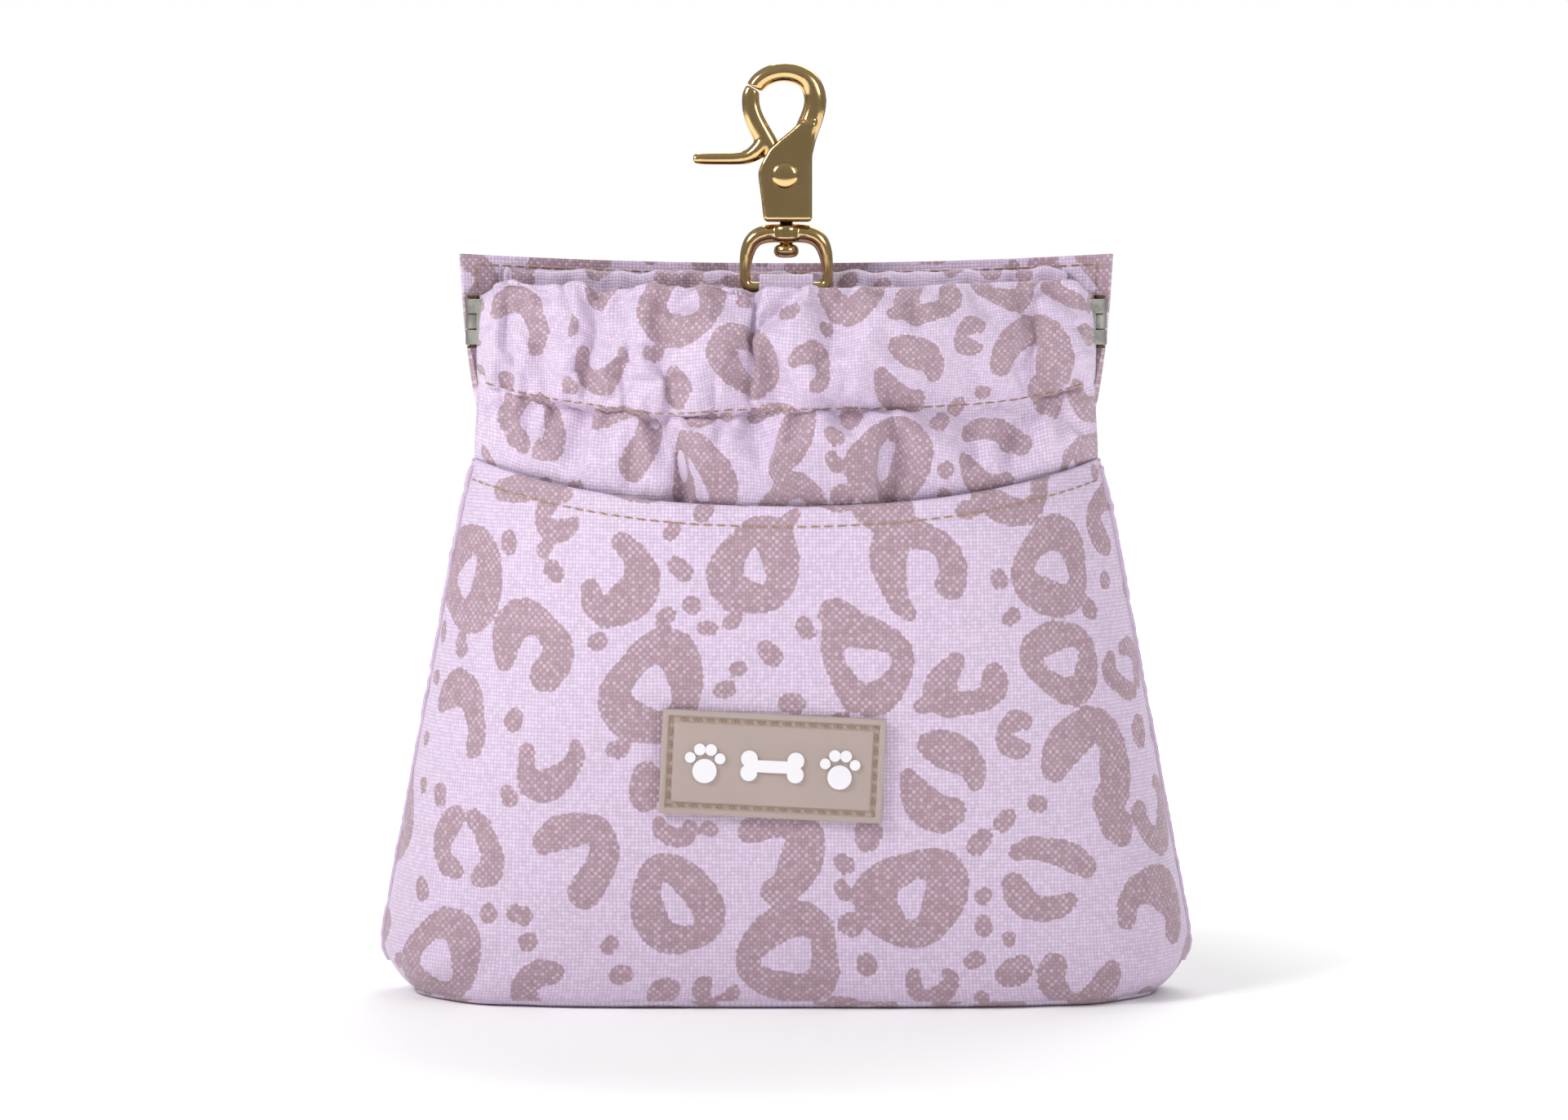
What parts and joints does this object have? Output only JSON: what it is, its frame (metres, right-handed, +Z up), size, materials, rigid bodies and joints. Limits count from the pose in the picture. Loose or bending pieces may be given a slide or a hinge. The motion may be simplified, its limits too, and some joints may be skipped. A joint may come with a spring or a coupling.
{
  "type": "treat pouch",
  "caption": "Standing fabric treat pouch with a slip pocket, a flex-frame mouth that closes, a moulded label and a swivel trigger hook on a hanging tab.",
  "frame": {"origin": "on the floor, under the middle of the pouch", "axes": "+Z up, -Y out of the pocket side, +X to the right as seen from the pocket side"},
  "size_m": [0.1804, 0.0543, 0.206],
  "materials": {
    "printed_canvas": "woven polyester canvas, printed with a leopard pattern",
    "lining_cloth": "thin coated polyester",
    "seam_binding": "bound cloth edge",
    "strap_webbing": "folded canvas strap",
    "thread": "polyester sewing thread",
    "label_rubber": "soft moulded PVC, matt",
    "label_print": "soft moulded PVC, matt",
    "spring_steel": "nickel-plated spring steel",
    "hinge_steel": "nickel-plated sheet steel",
    "hook_brass": "polished, lacquered brass plating on a die-cast hook",
    "coil_steel": "drawn spring wire"
  },
  "bodies": {
    "pouch": {"back_panel": "printed_canvas", "front_wall": "printed_canvas", "front_pocket": "printed_canvas", "back_casing": "printed_canvas", "base_panel": "printed_canvas", "lining": "lining_cloth", "left_seam_tape": "seam_binding", "right_seam_tape": "seam_binding", "hanging_tab": "strap_webbing", "tab_stitching": "thread", "pocket_topstitch": "thread", "panel_topstitch": "thread", "label_patch": "label_rubber", "label_motif": "label_print", "label_stitching": "thread", "back_spring_strip": "spring_steel", "back_left_hinge_leaf": "hinge_steel", "back_right_hinge_leaf": "hinge_steel", "left_hinge_pin": "hinge_steel", "right_hinge_pin": "hinge_steel"},
    "front_lip": {"front_casing": "printed_canvas", "front_spring_strip": "spring_steel", "casing_topstitch": "thread"},
    "front_left_leaf": {"front_left_hinge_leaf": "hinge_steel"},
    "front_right_leaf": {"front_right_hinge_leaf": "hinge_steel"},
    "eye": {"swivel_eye": "hook_brass"},
    "hook": {"hook_body": "hook_brass", "swivel_stud": "hook_brass", "gate_rivet": "hook_brass", "gate_spring": "coil_steel"},
    "gate": {"trigger_gate": "hook_brass"}
  },
  "joints": [
    {"name": "mouth", "type": "slide", "parent": "pouch", "child": "front_lip", "axis": [0, 1, 0], "range_m": [0, 0.017], "deforming": ["front_casing", "front_spring_strip", "casing_topstitch"]},
    {"name": "left_leaf_turn", "type": "hinge", "parent": "pouch", "child": "front_left_leaf", "pos_m": [-0.069, 0.0039, 0.149], "axis": [0, 0, 1], "range_deg": [0, 21.5]},
    {"name": "right_leaf_turn", "type": "hinge", "parent": "pouch", "child": "front_right_leaf", "pos_m": [0.069, 0.0039, 0.149], "axis": [0, 0, -1], "range_deg": [0, 21.5]},
    {"name": "eye_swing", "type": "hinge", "parent": "pouch", "child": "eye", "pos_m": [0, 0.00592, 0.1565], "axis": [1, 0, 0], "range_deg": [-15, 50]},
    {"name": "hook_swivel", "type": "hinge", "parent": "eye", "child": "hook", "pos_m": [0, 0.00592, 0.1682], "axis": [0, 0, 1], "continuous": true},
    {"name": "gate_pivot", "type": "hinge", "parent": "hook", "child": "gate", "pos_m": [-0.0003, 0.00592, 0.181], "axis": [0, -1, 0], "range_deg": [0, 28], "stiffness_Nm_per_rad": 0.03, "springref_deg": -20.05}
  ],
  "couplings": [
    {"joint": "left_leaf_turn", "follows": "mouth", "rad_per_m": 21.148},
    {"joint": "right_leaf_turn", "follows": "mouth", "rad_per_m": 21.148}
  ]
}
